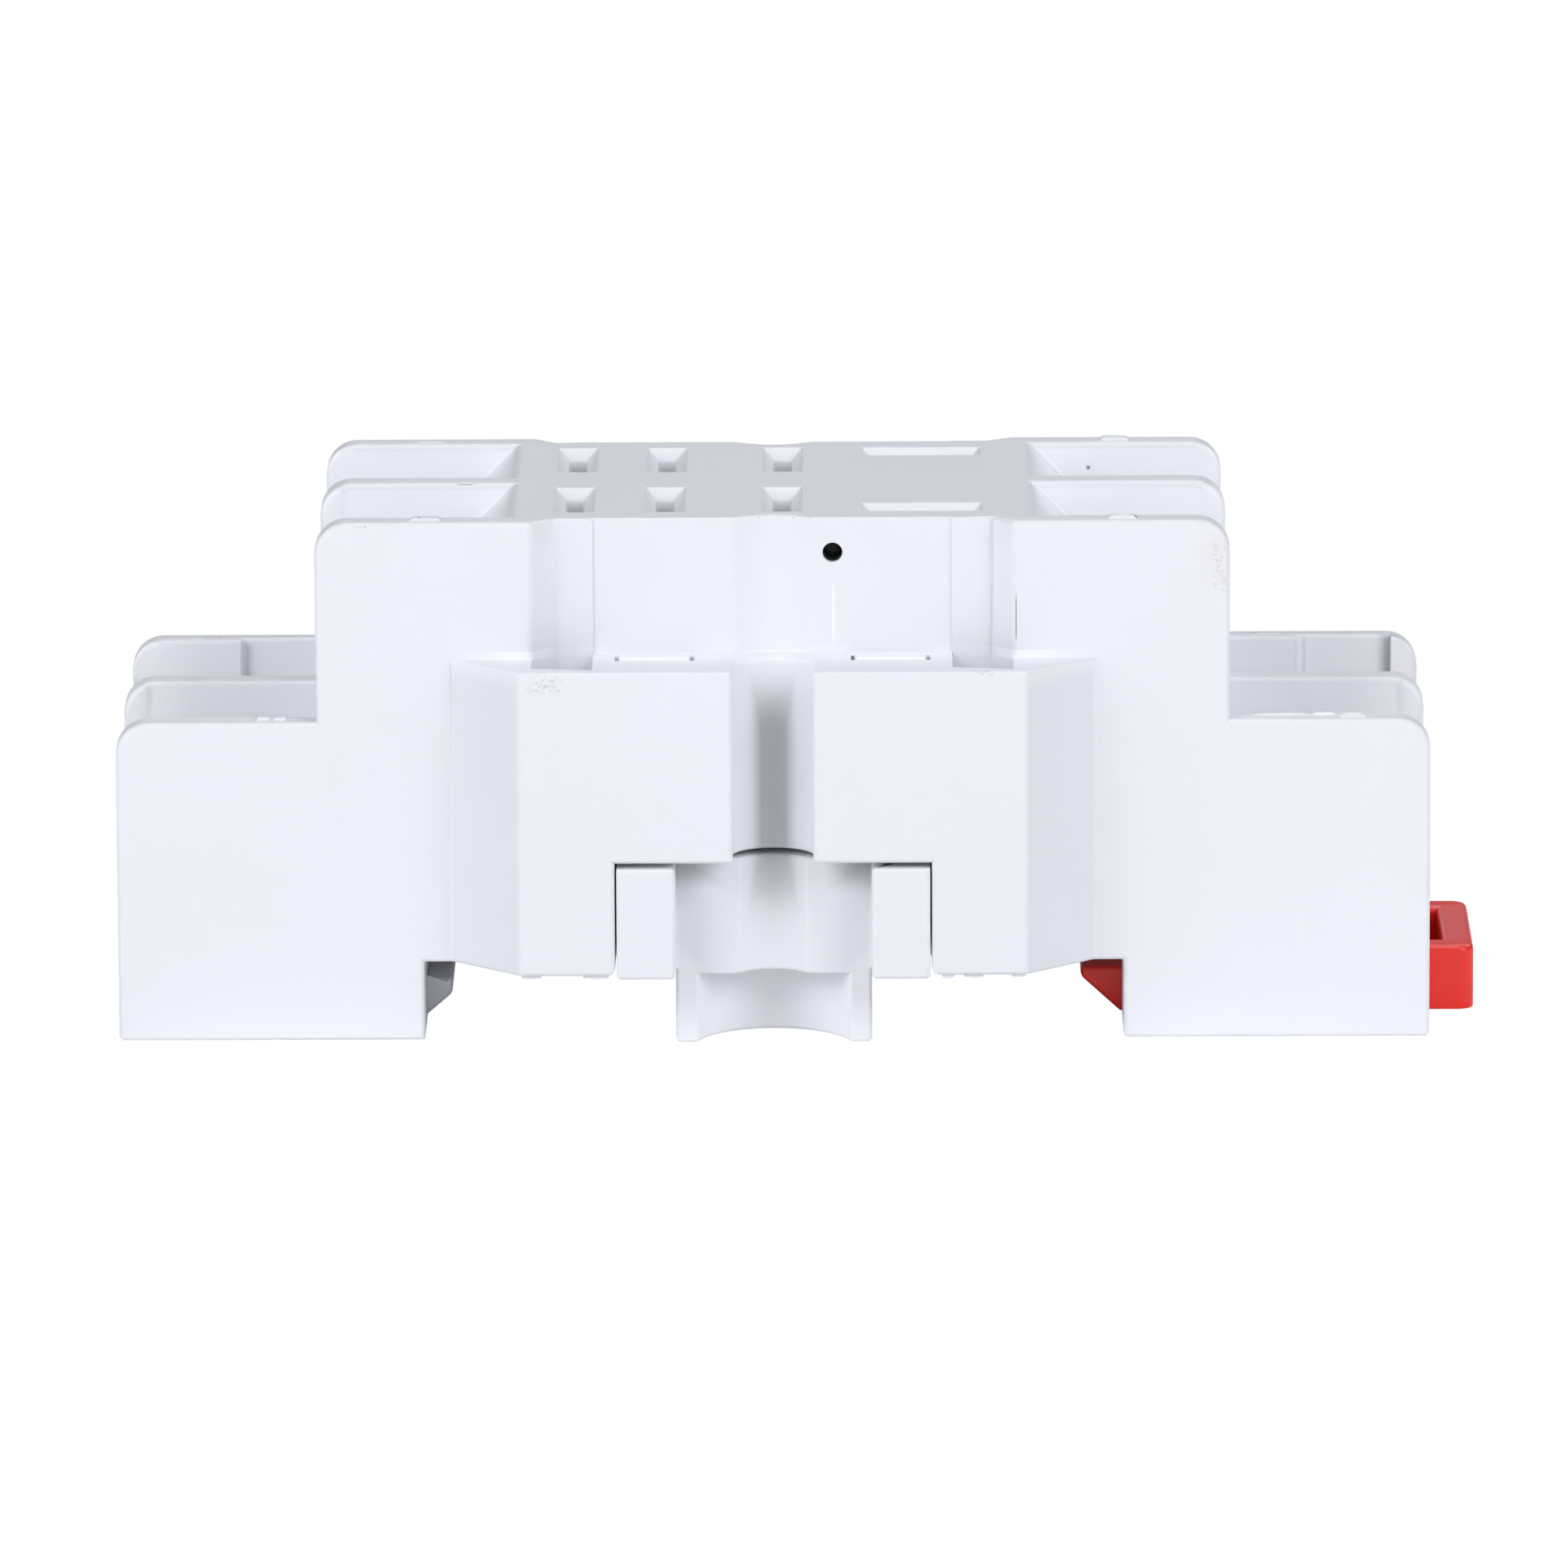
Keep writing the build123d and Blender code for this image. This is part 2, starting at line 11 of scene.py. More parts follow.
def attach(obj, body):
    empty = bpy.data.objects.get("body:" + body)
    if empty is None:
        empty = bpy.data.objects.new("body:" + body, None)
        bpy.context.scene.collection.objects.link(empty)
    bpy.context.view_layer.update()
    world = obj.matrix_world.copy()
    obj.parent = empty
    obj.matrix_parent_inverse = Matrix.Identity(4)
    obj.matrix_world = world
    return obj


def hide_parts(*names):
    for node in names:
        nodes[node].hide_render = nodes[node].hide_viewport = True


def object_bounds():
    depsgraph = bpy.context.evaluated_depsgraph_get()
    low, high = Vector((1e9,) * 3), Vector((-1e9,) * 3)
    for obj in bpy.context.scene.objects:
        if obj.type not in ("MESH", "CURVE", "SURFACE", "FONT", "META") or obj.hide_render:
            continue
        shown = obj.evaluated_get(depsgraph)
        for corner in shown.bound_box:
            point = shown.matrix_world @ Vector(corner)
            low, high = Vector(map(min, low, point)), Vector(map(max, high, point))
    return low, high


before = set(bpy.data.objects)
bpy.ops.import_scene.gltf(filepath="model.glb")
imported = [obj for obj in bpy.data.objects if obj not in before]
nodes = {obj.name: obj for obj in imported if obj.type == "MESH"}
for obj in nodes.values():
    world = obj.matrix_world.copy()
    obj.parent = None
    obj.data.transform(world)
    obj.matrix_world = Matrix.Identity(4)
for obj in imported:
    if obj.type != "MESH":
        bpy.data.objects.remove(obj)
cadLow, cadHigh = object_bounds()
mm = 0.001
terminals = [f"{row}_{use}" for row in ("front", "rear")
             for use in ("break", "make", "common", "coil")]
print("frame loaded:", len(nodes), "nodes")

# Camera, fitted to the photograph
shot = {
    "lens": 362.35,                        # mm
    "sensor": 36.0,                        # mm wide
    "place": (4.186, -786.955, 185.236),   # mm
    "yaw": -0.004683,                      # radians, to the right of +Y
    "pitch": 0.222782,                     # radians, downwards
    "roll": -0.004733,                     # radians
    "nearest": 0.05,                       # metres, start of what it sees
    "farthest": 20.0,
}


def makeCamera():
    data = bpy.data.cameras.new("studioCamera")
    data.sensor_width = shot["sensor"]
    data.lens = shot["lens"]
    data.clip_start = shot["nearest"]
    data.clip_end = shot["farthest"]
    yaw, pitch, roll = shot["yaw"], shot["pitch"], shot["roll"]
    ahead = Vector((math.sin(yaw) * math.cos(pitch), math.cos(yaw) * math.cos(pitch),
                    -math.sin(pitch)))
    level = Vector((math.cos(yaw), -math.sin(yaw), 0.0))
    above = level.cross(ahead)
    right = math.cos(roll) * level + math.sin(roll) * above
    up = -math.sin(roll) * level + math.cos(roll) * above
    turn = Matrix((right, up, -ahead)).transposed()
    cam = bpy.data.objects.new("studioCamera", data)
    cam.matrix_world = Matrix.Translation(Vector(shot["place"]) * mm) @ turn.to_4x4()
    bpy.context.scene.collection.objects.link(cam)
    bpy.context.scene.camera = cam


makeCamera()
print("camera placed")

# Studio: white sweep, soft lights
studio = {
    "worldColour": "#FAFBFF",
    "worldStrength": 0.0,
    "floorSize": 6.0,            # metres
    "floorGap": 0.02,            # mm below the feet
    "floorTint": "#FFFFFF",
    "floorGlow": 1.02,           # what the camera sees of the sweep, just past paper white
    "aim": (0.0, 0.0, 0.01),     # metres
    "lightTint": "#F8F9FF",
    "lightDistance": 1.25,       # metres from the aim
    "lightSize": 0.5,            # metres, square
    "lights": {
        # name: (degrees to the right of the camera, degrees above the floor, watts)
        "frontSoftbox": (0, 20, 1.09),
        "highFrontSoftbox": (30, 58, 0.61),
        "leftSoftbox": (-45, 35, 5.7),
        "lowLeftSoftbox": (-45, 15, 0.9),
        "rightSoftbox": (45, 35, 5.76),
        "lowRightSoftbox": (45, 15, 0.75),
        "farLeftSoftbox": (-65, 15, 2.75),
        "farRightSoftbox": (65, 15, 1.69),
        "backSoftbox": (180, 44, 3.03),
        "backLeftSoftbox": (-135, 40, 0.54),
        "backRightSoftbox": (135, 40, 3.05),
    },
    "overheadSheet": (0, 80, 5.0),   # a reflection from above, which lights no matt surface
}


def linearColour(hexText):
    # sRGB hex to linear RGBA
    parts = [int(hexText[i:i + 2], 16) / 255 for i in (1, 3, 5)]
    return tuple(p / 12.92 if p <= 0.04045 else ((p + 0.055) / 1.055) ** 2.4
                 for p in parts) + (1.0,)


def addNode(tree, kind, values=None, links=None, **settings):
    # one node with its settings, socket values and incoming links
    node = tree.nodes.new(kind)
    for name, value in settings.items():
        setattr(node, name, value)
    for socket, value in (values or {}).items():
        node.inputs[socket].default_value = value
    for socket, source in (links or {}).items():
        tree.links.new(source, node.inputs[socket])
    return node


def makeStudio():
    scene = bpy.context.scene
    scene.view_settings.view_transform = "Standard"
    world = bpy.data.worlds.new("studioWorld")
    world.use_nodes = True
    back = world.node_tree.nodes["Background"]
    back.inputs["Color"].default_value = linearColour(studio["worldColour"])
    back.inputs["Strength"].default_value = studio["worldStrength"]
    scene.world = world
    lights = dict(studio["lights"], overheadSheet=studio["overheadSheet"])
    for name, (across, above, power) in lights.items():
        lamp = bpy.data.lights.new(name, "AREA")
        lamp.shape = "SQUARE"
        lamp.size = studio["lightSize"]
        lamp.energy = power
        lamp.color = linearColour(studio["lightTint"])[:3]
        holder = bpy.data.objects.new(name, lamp)
        holder.visible_diffuse = name != "overheadSheet"
        turn, lift = math.radians(across), math.radians(above)
        way = Vector((math.sin(turn) * math.cos(lift), -math.cos(turn) * math.cos(lift),
                      math.sin(lift)))
        holder.location = Vector(studio["aim"]) + way * studio["lightDistance"]
        holder.rotation_mode = "QUATERNION"
        holder.rotation_quaternion = (-way).to_track_quat("-Z", "Y")
        scene.collection.objects.link(holder)


def makeFloor():
    # a plain white sweep that burns out to paper white in the picture
    size = studio["floorSize"] / 2
    mesh = bpy.data.meshes.new("studioFloor")
    level = cadLow.z - studio["floorGap"] * mm
    corners = [(-size, -size, level), (size, -size, level), (size, size, level),
               (-size, size, level)]
    mesh.from_pydata(corners, [], [(0, 1, 2, 3)])
    floor = bpy.data.objects.new("studioFloor", mesh)
    bpy.context.scene.collection.objects.link(floor)
    paint = bpy.data.materials.new("whiteSweepPaper")
    paint.use_nodes = True
    tree = paint.node_tree
    tree.nodes.clear()
    seen = addNode(tree, "ShaderNodeLightPath")
    paper = addNode(tree, "ShaderNodeBsdfDiffuse", {"Color": linearColour(studio["floorTint"])})
    glow = addNode(tree, "ShaderNodeEmission",
                   {"Color": (1, 1, 1, 1), "Strength": studio["floorGlow"]})
    mix = addNode(tree, "ShaderNodeMixShader", None,
                  {0: seen.outputs["Is Camera Ray"], 1: paper.outputs[0], 2: glow.outputs[0]})
    addNode(tree, "ShaderNodeOutputMaterial", None, {"Surface": mix.outputs[0]})
    mesh.materials.append(paint)


makeStudio()
makeFloor()
print("studio built")

# Polyamide housing, injection moulded: satin, a faint cold cast, fine spark-eroded grain
polyamide = {
    "colour": "#EEEFF3",
    "shade": "#EAEBED",          # slow drift of tone across the moulding
    "roughness": 0.46,
    "ior": 1.53,
    "grain": 0.12,               # mm between the grain's peaks
    "grainHeight": 0.004,        # mm
    "drift": 14.0,               # mm between patches of tone
    "waviness": 2.5,             # mm between slow sink marks
    "marks": {
        # name: (middle in mm, half sizes in mm, part of them that fades, strength, speckled,
        #        colour)
        # soft light that the pale walls throw on each other
        "leftBays": ((-22.95, 0.0, 13.5), (10.1, 10.0, 9.2), 0.03, 0.7, False, "#F8F9FD"),
        "rightBays": ((22.95, 0.0, 13.5), (10.1, 10.0, 9.2), 0.03, 0.7, False, "#F8F9FD"),
        "ledgeTop": ((0.0, -12.0, 16.0), (16.6, 2.7, 0.28), 0.3, 1.0, False, "#F8F9FD"),
        # shade in the corners and hollows
        "chamferLeft": ((-14.5, -12.3, 6.5), (1.8, 1.75, 9.2), 0.1, 0.16, False, "#B9BCC4"),
        "chamferRight": ((14.5, -12.3, 6.5), (1.8, 1.75, 9.2), 0.1, 0.16, False, "#B9BCC4"),
        "grooveShade": ((0.0, -11.4, 9.2), (1.3, 1.9, 6.8), 0.8, 0.74, False, "#878D8B"),
        "recessStart": ((27.15, 9.3, 9.0), (0.3, 0.35, 3.8), 0.2, 0.13, False, "#7C8088"),
        "recessEnd": ((31.78, 9.565, 9.0), (0.85, 0.36, 12.0), 1.0, 0.38, False, "#3A3C40"),
        "bandEdgeLeft": ((-5.4, -11.35, 2.9), (2.2, 0.5, 3.5), 0.6, 0.13, False, "#45484E"),
        "bandEdgeRight": ((5.4, -11.35, 2.9), (2.2, 0.5, 3.5), 0.6, 0.11, False, "#45484E"),
        "bandCornerLeft": ((-4.95, -11.35, 5.75), (2.9, 0.5, 1.8), 0.9, 0.45, False, "#45484E"),
        "bandCornerRight": ((4.95, -11.35, 5.75), (2.6, 0.5, 2.0), 0.9, 0.5, False, "#45484E"),
        "slotShade": ((-0.5, 0.0, 15.2), (12.6, 8.6, 6.4), 0.13, 0.8, False, "#45464B"),
        "probeShade": ((3.04, -8.3, 21.05), (0.7, 1.0, 0.7), 0.15, 0.9, False, "#1E1F22"),
        # dirt, gate spots and yellowing, a darker line along a crevice and a lighter streak
        # below the probe hole
        "blockSpecks": ((-11.4, -13.9, 15.2), (1.2, 0.6, 0.7), 0.9, 0.7, True, "#8A8276"),
        "blockSpecksRight": ((10.4, -13.9, 15.75), (1.0, 0.6, 0.2), 0.9, 0.8, True, "#8A8276"),
        # darker along the crevice at the wing's edge
        "creviceLine": ((12.27, -10.5, 17.9), (0.05, 0.5, 1.4), 0.5, 0.6, False, "#5E5A58"),
        "wingGrime": ((22.5, -10.5, 20.6), (0.55, 0.5, 2.0), 0.9, 0.6, True, "#7A7262"),
        "wingYellowing": ((22.2, -10.5, 20.9), (1.1, 0.5, 2.6), 0.95, 0.2, False, "#E2DBC4"),
        "bayWallSpeck": ((16.2, 9.07, 21.55), (0.12, 0.2, 0.12), 0.5, 0.8, False, "#6B5A48"),
        "finSpeck": ((-20.62, -10.6, 22.69), (0.42, 0.3, 0.07), 0.8, 1.0, True, "#5E4D3C"),
        "gateSpotLeft": ((-17.75, -9.8, 23.0), (0.1, 0.15, 0.2), 0.5, 0.8, False, "#6B5A48"),
        "gateSpotRight": ((18.3, -9.9, 23.0), (0.1, 0.22, 0.3), 0.5, 0.7, False, "#6B5A48"),
        "rearGateSpots": ((-28.9, 9.75, 12.6), (0.45, 0.2, 0.2), 0.5, 0.8, True, "#6B5A48"),
        # lighter in a thin streak below the probe hole
        "probeStreak": ((3.08, -9.5, 17.9), (0.1, 0.2, 1.9), 0.6, 0.6, False, "#FFFFFF"),
    },
}

# Polyamide clip, moulded in signal red: glossier than the housing
redPolyamide = {
    "colour": "#F72C1A",
    "shade": "#EE2616",
    "roughness": 0.34,
    "ior": 1.53,
    "grain": 0.12,
    "grainHeight": 0.003,
    "drift": 6.0,
    "waviness": 2.0,
    "marks": {
        # painted sheen: the top of the red handle is made lighter, as the reflection of the
        # bright room on it
        "paintedTopSheen": ((34.5, 0.0, -0.4), (1.8, 5.6, 0.16), 0.4, 0.12, False, "#FFFFFF"),
    },
}

# Dirt that breaks a speckled mark into grains
speckle = {
    "size": 0.18,                # mm between grains
    "detail": 5.0,
    "bare": 0.5,                 # noise up to here leaves the plastic clean
    "covered": 0.8,              # and from here covers it
}

# What both mouldings take from their mould
mouldSkin = {
    "toneDetail": 3.0,
    "grainDetail": 2.0,
    "sinkDetail": 1.0,
    "roughnessSwing": 0.05,      # either way
    "grainStrength": 0.35,
    "sinkStrength": 0.3,
    "sinkHeight": 0.02,          # mm
}


def startMaterial(name):
    material = bpy.data.materials.new(name)
    material.use_nodes = True
    tree = material.node_tree
    tree.nodes.clear()
    return material, tree


def addMark(tree, coords, under, mark):
    # a painted shade or painted light, a speck or a smear of dirt in a box of the socket, fading
    # at its edge
    middle, half, soft, strength, speckled, tint = mark
    local = addNode(tree, "ShaderNodeMapping",
                    {"Location": [v * mm for v in middle], "Scale": [v * mm for v in half]},
                    {"Vector": coords}, vector_type="TEXTURE")
    size = addNode(tree, "ShaderNodeVectorMath", None, {0: local.outputs[0]},
                   operation="ABSOLUTE")
    parts = addNode(tree, "ShaderNodeSeparateXYZ", None, {0: size.outputs[0]})
    wider = addNode(tree, "ShaderNodeMath", None,
                    {0: parts.outputs["X"], 1: parts.outputs["Y"]}, operation="MAXIMUM")
    widest = addNode(tree, "ShaderNodeMath", None,
                     {0: wider.outputs[0], 1: parts.outputs["Z"]}, operation="MAXIMUM")
    fade = addNode(tree, "ShaderNodeMapRange",
                   {"From Min": 1.0, "From Max": 1.0 - soft, "To Min": 0.0, "To Max": strength},
                   {"Value": widest.outputs[0]}, interpolation_type="SMOOTHSTEP")
    share = fade.outputs["Result"]
    if speckled:
        dust = addNode(tree, "ShaderNodeTexNoise",
                       {"Scale": 1 / (speckle["size"] * mm), "Detail": speckle["detail"]},
                       {"Vector": coords})
        broken = addNode(tree, "ShaderNodeMapRange",
                         {"From Min": speckle["bare"], "From Max": speckle["covered"]},
                         {"Value": dust.outputs["Fac"]})
        share = addNode(tree, "ShaderNodeMath", None, {0: share, 1: broken.outputs["Result"]},
                        operation="MULTIPLY").outputs[0]
    mixed = addNode(tree, "ShaderNodeMixRGB", {"Color2": linearColour(tint)},
                    {"Fac": share, "Color1": under})
    return mixed.outputs[0]


def mouldedPlastic(name, look):
    material, tree = startMaterial(name)
    place = addNode(tree, "ShaderNodeTexCoord")
    coords = place.outputs["Object"]
    tone = addNode(tree, "ShaderNodeTexNoise",
                   {"Scale": 1 / (look["drift"] * mm), "Detail": mouldSkin["toneDetail"]},
                   {"Vector": coords})
    colour = addNode(tree, "ShaderNodeMixRGB",
                     {"Color1": linearColour(look["colour"]),
                      "Color2": linearColour(look["shade"])},
                     {"Fac": tone.outputs["Fac"]})
    surface = colour.outputs[0]
    for mark in look["marks"].values():
        surface = addMark(tree, coords, surface, mark)
    grain = addNode(tree, "ShaderNodeTexNoise",
                    {"Scale": 1 / (look["grain"] * mm), "Detail": mouldSkin["grainDetail"]},
                    {"Vector": coords})
    sink = addNode(tree, "ShaderNodeTexNoise",
                   {"Scale": 1 / (look["waviness"] * mm), "Detail": mouldSkin["sinkDetail"]},
                   {"Vector": coords})
    rough = addNode(tree, "ShaderNodeMapRange",
                    {"To Min": look["roughness"] - mouldSkin["roughnessSwing"],
                     "To Max": look["roughness"] + mouldSkin["roughnessSwing"]},
                    {"Value": grain.outputs["Fac"]})
    fine = addNode(tree, "ShaderNodeBump",
                   {"Strength": mouldSkin["grainStrength"],
                    "Distance": look["grainHeight"] * mm},
                   {"Height": grain.outputs["Fac"]})
    slow = addNode(tree, "ShaderNodeBump",
                   {"Strength": mouldSkin["sinkStrength"],
                    "Distance": mouldSkin["sinkHeight"] * mm},
                   {"Height": sink.outputs["Fac"], "Normal": fine.outputs["Normal"]})
    skin = addNode(tree, "ShaderNodeBsdfPrincipled", {"IOR": look["ior"]},
                   {"Base Color": surface, "Roughness": rough.outputs["Result"],
                    "Normal": slow.outputs["Normal"]})
    addNode(tree, "ShaderNodeOutputMaterial", None, {"Surface": skin.outputs[0]})
    return material


# Zinc plated steel, turned and stamped: bright grey with fine drawing marks
zincSteel = {
    "colour": "#C9CACC",
    "shade": "#A9ABAE",
    "roughness": 0.3,
    "grain": 0.2,                # mm between drawing marks
}

# Brass strip, stamped: warm yellow, satin from the rolling
brassStrip = {
    "colour": "#D9B86A",
    "shade": "#B9974C",
    "roughness": 0.32,
    "grain": 0.25,
}

# Phosphor bronze, rolled spring temper: redder than brass, tighter sheen
bronzeStrip = {
    "colour": "#C99A6A",
    "shade": "#A87A4C",
    "roughness": 0.28,
    "grain": 0.25,
}

# Spring wire, hard drawn steel: dark grey with a soft shine along the wire
springWire = {
    "colour": "#8E9094",
    "shade": "#6E7074",
    "roughness": 0.35,
    "grain": 0.15,
}

# What all the metals take from rolling and drawing
metalSkin = {
    "stretch": 0.12,             # how much longer the marks are along X
    "markDetail": 3.0,
    "stain": 1.6,                # mm between patches of tarnish
    "stainDetail": 4.0,
    "smoother": 0.08,            # swing of the roughness downwards
    "rougher": 0.1,              # and upwards
    "markStrength": 0.25,
    "markHeight": 0.004,         # mm
}


def workedMetal(name, look):
    material, tree = startMaterial(name)
    place = addNode(tree, "ShaderNodeTexCoord")
    stretch = addNode(tree, "ShaderNodeMapping", {"Scale": (metalSkin["stretch"], 1.0, 1.0)},
                      {"Vector": place.outputs["Object"]})
    marks = addNode(tree, "ShaderNodeTexNoise",
                    {"Scale": 1 / (look["grain"] * mm), "Detail": metalSkin["markDetail"]},
                    {"Vector": stretch.outputs[0]})
    stain = addNode(tree, "ShaderNodeTexNoise",
                    {"Scale": 1 / (metalSkin["stain"] * mm), "Detail": metalSkin["stainDetail"]},
                    {"Vector": place.outputs["Object"]})
    colour = addNode(tree, "ShaderNodeMixRGB",
                     {"Color1": linearColour(look["colour"]),
                      "Color2": linearColour(look["shade"])},
                     {"Fac": stain.outputs["Fac"]})
    rough = addNode(tree, "ShaderNodeMapRange",
                    {"To Min": look["roughness"] - metalSkin["smoother"],
                     "To Max": look["roughness"] + metalSkin["rougher"]},
                    {"Value": marks.outputs["Fac"]})
    bump = addNode(tree, "ShaderNodeBump",
                   {"Strength": metalSkin["markStrength"],
                    "Distance": metalSkin["markHeight"] * mm},
                   {"Height": marks.outputs["Fac"]})
    metal = addNode(tree, "ShaderNodeBsdfPrincipled", {"Metallic": 1.0},
                    {"Base Color": colour.outputs[0], "Roughness": rough.outputs["Result"],
                     "Normal": bump.outputs["Normal"]})
    addNode(tree, "ShaderNodeOutputMaterial", None, {"Surface": metal.outputs[0]})
    return material


whiteMoulding = mouldedPlastic("mouldedPolyamideWhite", polyamide)
redMoulding = mouldedPlastic("mouldedPolyamideRed", redPolyamide)
platedSteel = workedMetal("zincPlatedSteel", zincSteel)
stampedBrass = workedMetal("stampedBrass", brassStrip)
rolledBronze = workedMetal("rolledPhosphorBronze", bronzeStrip)
drawnWire = workedMetal("drawnSpringWire", springWire)
print("materials made")

finishes = {"housing": whiteMoulding, "bottom_cover": whiteMoulding, "rail_clip": redMoulding,
            "clip_spring": drawnWire}
for terminal in terminals:
    finishes[f"{terminal}_busbar"] = stampedBrass
    finishes[f"{terminal}_blade_clip"] = rolledBronze
    finishes[f"{terminal}_clamp_washer"] = platedSteel
    finishes[f"{terminal}_screw"] = platedSteel


def dress(piece, material):
    piece.data.materials.clear()
    piece.data.materials.append(material)


for nodeName, material in finishes.items():
    dress(nodes[nodeName], material)
print("CAD nodes dressed")

# Edge rounding that the mould leaves on the plastic pieces, lengths in mm
mouldings = {
    "housing_moulding": {
        "source": "housing",     # CAD node that it stands in for
        "body": "base",
        "slot": "housing_moulding",
        "outside": 0.24,         # radius of the edges that stand out
        "inside": 0.14,          # radius of the edges in corners
        "local": [
            # (low corner, high corner, radius of the edges that lie between them)
            ((-12.4, -8.4, 22.0), (11.4, 8.4, 23.0), 0.07),    # mouths of the blade slots
            ((-8.3, -14.1, 0.0), (8.3, 14.1, 0.4), 0.4),       # block corners beside the posts
            ((28.7, 8.9, 5.0), (33.3, 9.7, 12.7), 0.07),       # recess in the rear right bay
            ((2.4, -9.6, 20.4), (3.7, -9.0, 21.7), 0.05),      # probe hole
        ],
    },
    "bottom_cover_moulding": {
        "source": "bottom_cover",
        "body": "base",
        "slot": "cover_moulding",
        "outside": 0.2,
        "inside": 0.12,
        "local": [],
    },
    "rail_clip_moulding": {
        "source": "rail_clip",
        "body": "rail_clip",
        "slot": "red_moulding",
        "outside": 0.3,
        "inside": 0.12,
        "local": [
            # bottom edges, in steps too short for a wide rounding
            ((17.0, -5.4, -3.9), (35.8, 5.4, -3.7), 0.05),
        ],
    },
}
edgeRule = {
    "sharp": math.radians(22),   # faces that meet at less than this are one curved surface
    "flat": math.radians(1.5),   # faces that meet at less than this are one plane
    "merge": math.radians(0.5),  # and at less than this become one face
    "bend": math.radians(35),    # edges that turn less than this belong to one outline curve
    "share": 0.42,               # part of the room that a rounding takes, with one opposite
    "freeShare": 0.85,           # the same with none opposite
    "segments": 3,
    "least": 0.06,               # mm, a smaller rounding is left out
    "blend": math.cos(math.radians(40)),   # faces that meet at less than this shade as one
    "sliver": 0.012,             # mm, a thinner face shades like the one beside it
    "weldBefore": 0.001,         # mm, closer points are one point before the rounding
    "weldAfter": 0.004,          # mm, the same after it
    "tinyAfter": 0.002,          # mm, a shorter edge or thinner face goes after it
}


def flatRegions(mesh):
    # groups of faces that lie in one plane, as the list of their faces
    seen = set()
    regions = []
    for face in mesh.faces:
        if face in seen:
            continue
        seen.add(face)
        region, queue = [], [face]
        while queue:
            one = queue.pop()
            region.append(one)
            for edge in one.edges:
                if len(edge.link_faces) == 2 and edge.calc_face_angle() < edgeRule["flat"]:
                    for other in edge.link_faces:
                        if other not in seen:
                            seen.add(other)
                            queue.append(other)
        regions.append(region)
    return regions


def segmentGap(a, b, c, d):
    # shortest distance between two segments, from their ends to the other line
    def toSegment(p, q, r):
        run = r - q
        length = max(run.length_squared, 1e-18)   # never zero, for two ends in one place
        t = max(0.0, min(1.0, (p - q).dot(run) / length))
        return (q + run * t - p).length
    return min(toSegment(a, c, d), toSegment(b, c, d), toSegment(c, a, b), toSegment(d, a, b))


def outlineCurves(edges):
    # numbers for the edges of one region, equal along each smooth outline curve
    curve = {edge: number for number, edge in enumerate(edges)}
    corners = {}
    for edge in edges:
        for vert in edge.verts:
            corners.setdefault(vert, []).append(edge)
    for vert, meeting in corners.items():
        for one in meeting:
            for other in meeting:
                if one is other or curve[one] == curve[other]:
                    continue
                ahead = vert.co - one.other_vert(vert).co
                onward = other.other_vert(vert).co - vert.co
                if ahead.angle(onward) < edgeRule["bend"]:
                    kept, lost = curve[one], curve[other]
                    for edge in edges:
                        if curve[edge] == lost:
                            curve[edge] = kept
    return curve


def turnsOneWay(edge, side, other):
    # whether the outline turns the same way at both ends of a short side, as round a tab
    a = next(v for v in side.verts if v in edge.verts)
    b = side.other_vert(a)
    along = b.co - a.co
    first = (a.co - edge.other_vert(a).co).cross(along)
    second = along.cross(other.other_vert(b).co - b.co)
    return first.dot(second) > 0


def roomBeside(mesh, widest):
    # how wide each sharp edge may be rounded before it meets another edge
    room = {edge: widest for edge in mesh.edges
            if len(edge.link_faces) == 2 and edge.calc_face_angle() > edgeRule["sharp"]}
    for region in flatRegions(mesh):
        inside = set(region)
        edges = list({edge for face in region for edge in face.edges
                      if not all(f in inside for f in edge.link_faces)})
        curve = outlineCurves(edges)
        for edge in edges:
            if edge not in room:
                continue
            a, b = edge.verts
            for other in edges:
                if curve[other] == curve[edge]:
                    continue
                c, d = other.verts
                share = edgeRule["share" if other in room else "freeShare"]
                if a in (c, d) or b in (c, d):
                    gap = other.calc_length()
                    far = other.other_vert(a if a in (c, d) else b)
                    nexts = [one for one in edges if far in one.verts and one is not other]
                    if any(curve[one] == curve[other] for one in nexts):
                        share = edgeRule["freeShare"]
                    elif nexts and not any(turnsOneWay(edge, other, one) for one in nexts):
                        continue
                else:
                    gap = segmentGap(a.co, b.co, c.co, d.co)
                room[edge] = min(room[edge], gap * share)
    return room


def localRadius(local, edge):
    ends = [vert.co / mm for vert in edge.verts]
    for low, high, radius in local:
        if all(low[i] <= end[i] <= high[i] for end in ends for i in range(3)):
            return radius
    return None


# Shallow relief inside the fins at their ends, lengths in mm
finRelief = {
    "walls": (0.83, 9.065),      # distance of the bay walls from the centre plane
    "outwards": (-1, 1),         # which way the relief goes in, for each wall
    "depth": 0.12,               # in the CAD
    "shown": 0.12,               # in the end
    "tiers": ((23.02, 15.67), (33.15, 5.4)),   # reach of the fins and height of the bay floor
    "length": 1.3,
    "slope": 0.22,               # length of the little ramp into it
    "bays": 10.4,                # what lies farther than this from the centre plane is outside
    "match": 0.001,              # how exactly a point lies on the CAD's relief
    "cut": 0.0005,               # how close to a point the cut passes through it
    "margin": 0.1,               # around the ends of the fins and above the floor
    "slack": 0.02,               # how far before its wall a point may lie
    "fade": 0.4,                 # behind the wall, where nothing moves any more
}

# Top end of the recess in the rear right bay, lengths in mm
recessTop = {
    "reach": (31.5, 31.79),      # stretch in X with the short steps
    "wall": 9.565,               # Y of the recess
    "match": 0.003,
    "above": 12.5,
    "corner": (31.78, 9.565, 12.583),
}


